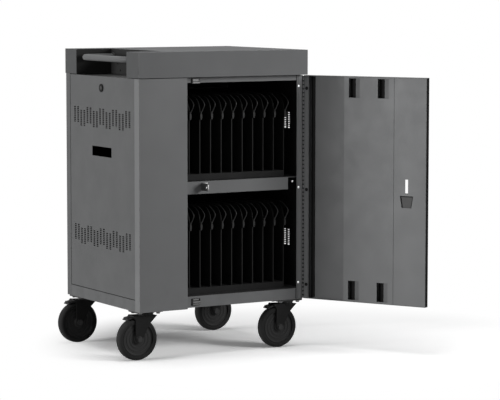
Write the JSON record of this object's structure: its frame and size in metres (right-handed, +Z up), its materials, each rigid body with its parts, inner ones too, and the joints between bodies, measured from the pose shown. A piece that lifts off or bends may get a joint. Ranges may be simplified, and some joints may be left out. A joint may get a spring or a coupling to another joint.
{
  "type": "device charging cart",
  "caption": "Sheet-steel charging cart on braked swivel casters, with a piano-hinged door, upright device slots with charging leads, a lift-off side panel and a push handle.",
  "frame": {"origin": "on the floor, under the middle of the bounding box with the door open as pictured", "axes": "+Z up; +X along the front from the fixed panel towards the hinge; +Y from the front to the back"},
  "size_m": [0.827, 0.8058, 0.892],
  "materials": {
    "powder_coat": "fine-textured powder coat",
    "lid_coat": "fine-textured moulding",
    "black_steel": "black coating",
    "black_plastic": "moulded",
    "grey_plastic": "moulded",
    "cable_rubber": "matt",
    "tread": "matt",
    "plated_steel": "zinc plate"
  },
  "bodies": {
    "cabinet": {"base_pan": "powder_coat", "bottom_shelf": "black_steel", "right_wall": "powder_coat", "back_panel": "powder_coat", "front_left_panel": "powder_coat", "partition_wall": "powder_coat", "top_deck": "powder_coat", "middle_shelf": "powder_coat", "shelf_bracket_left": "black_steel", "shelf_bracket_right": "black_steel", "lid": "lid_coat", "push_handle": "powder_coat", "hasp_staple": "plated_steel", "catch_top": "plated_steel", "catch_bottom": "plated_steel", "hinge_leaf_frame": "plated_steel", "hinge_pin": "plated_steel", "divider_rack_upper": "black_plastic", "divider_rack_lower": "black_plastic", "charging_leads_upper": "cable_rubber", "charging_leads_lower": "cable_rubber", "power_strip_upper": "black_plastic", "power_strip_lower": "black_plastic", "power_controller": "black_plastic", "power_inlet": "black_plastic", "cable_grommet_upper": "cable_rubber", "cable_grommet_lower": "cable_rubber", "caster_plate_fl": "black_steel", "caster_plate_fr": "black_steel", "caster_plate_bl": "black_steel", "caster_plate_br": "black_steel"},
    "door": {"door_pan": "powder_coat", "door_stiffener": "powder_coat", "door_lock_panel": "powder_coat", "finger_pull": "grey_plastic", "hinge_leaf_door": "plated_steel"},
    "side_panel": {"side_panel": "powder_coat", "lock_body": "plated_steel"},
    "lock": {"lock_plug": "plated_steel", "lock_cam": "plated_steel"},
    "caster_fl": {"caster_fork_fl": "black_steel", "caster_axle_fl": "black_steel"},
    "wheel_fl": {"caster_wheel_fl": "tread"},
    "pedal_fl": {"brake_pedal_fl": "black_plastic"},
    "caster_fr": {"caster_fork_fr": "black_steel", "caster_axle_fr": "black_steel"},
    "wheel_fr": {"caster_wheel_fr": "tread"},
    "pedal_fr": {"brake_pedal_fr": "black_plastic"},
    "caster_bl": {"caster_fork_bl": "black_steel", "caster_axle_bl": "black_steel"},
    "wheel_bl": {"caster_wheel_bl": "tread"},
    "pedal_bl": {"brake_pedal_bl": "black_plastic"},
    "caster_br": {"caster_fork_br": "black_steel", "caster_axle_br": "black_steel"},
    "wheel_br": {"caster_wheel_br": "tread"},
    "pedal_br": {"brake_pedal_br": "black_plastic"}
  },
  "joints": [
    {"name": "door_hinge", "type": "hinge", "parent": "cabinet", "child": "door", "pos_m": [0.19904, -0.04887, 0.48], "axis": [0, 0, 1], "range_deg": [-119, 61]},
    {"name": "side_panel_off", "type": "slide", "parent": "cabinet", "child": "side_panel", "axis": [-1, 0, 0], "range_m": [0, 0.3]},
    {"name": "lock_turn", "type": "hinge", "parent": "side_panel", "child": "lock", "pos_m": [-0.36546, 0.16563, 0.782], "axis": [1, 0, 0], "range_deg": [0, 90]},
    {"name": "swivel_fl", "type": "hinge", "parent": "cabinet", "child": "caster_fl", "pos_m": [-0.32096, -0.02037, 0.13], "axis": [0, 0, 1], "continuous": true},
    {"name": "roll_fl", "type": "hinge", "parent": "caster_fl", "child": "wheel_fl", "pos_m": [-0.35096, -0.02037, 0.0625], "axis": [0, 1, 0], "continuous": true},
    {"name": "brake_fl", "type": "hinge", "parent": "caster_fl", "child": "pedal_fl", "pos_m": [-0.36526, -0.02037, 0.1282], "axis": [0, 1, 0], "range_deg": [0, 10]},
    {"name": "swivel_fr", "type": "hinge", "parent": "cabinet", "child": "caster_fr", "pos_m": [0.15504, -0.02037, 0.13], "axis": [0, 0, 1], "continuous": true},
    {"name": "roll_fr", "type": "hinge", "parent": "caster_fr", "child": "wheel_fr", "pos_m": [0.12504, -0.02037, 0.0625], "axis": [0, 1, 0], "continuous": true},
    {"name": "brake_fr", "type": "hinge", "parent": "caster_fr", "child": "pedal_fr", "pos_m": [0.11074, -0.02037, 0.1282], "axis": [0, 1, 0], "range_deg": [0, 10]},
    {"name": "swivel_bl", "type": "hinge", "parent": "cabinet", "child": "caster_bl", "pos_m": [-0.32096, 0.36363, 0.13], "axis": [0, 0, 1], "continuous": true},
    {"name": "roll_bl", "type": "hinge", "parent": "caster_bl", "child": "wheel_bl", "pos_m": [-0.35096, 0.36363, 0.0625], "axis": [0, 1, 0], "continuous": true},
    {"name": "brake_bl", "type": "hinge", "parent": "caster_bl", "child": "pedal_bl", "pos_m": [-0.36526, 0.36363, 0.1282], "axis": [0, 1, 0], "range_deg": [0, 10]},
    {"name": "swivel_br", "type": "hinge", "parent": "cabinet", "child": "caster_br", "pos_m": [0.15504, 0.36363, 0.13], "axis": [0, 0, 1], "continuous": true},
    {"name": "roll_br", "type": "hinge", "parent": "caster_br", "child": "wheel_br", "pos_m": [0.12504, 0.36363, 0.0625], "axis": [0, 1, 0], "continuous": true},
    {"name": "brake_br", "type": "hinge", "parent": "caster_br", "child": "pedal_br", "pos_m": [0.11074, 0.36363, 0.1282], "axis": [0, 1, 0], "range_deg": [0, 10]}
  ]
}
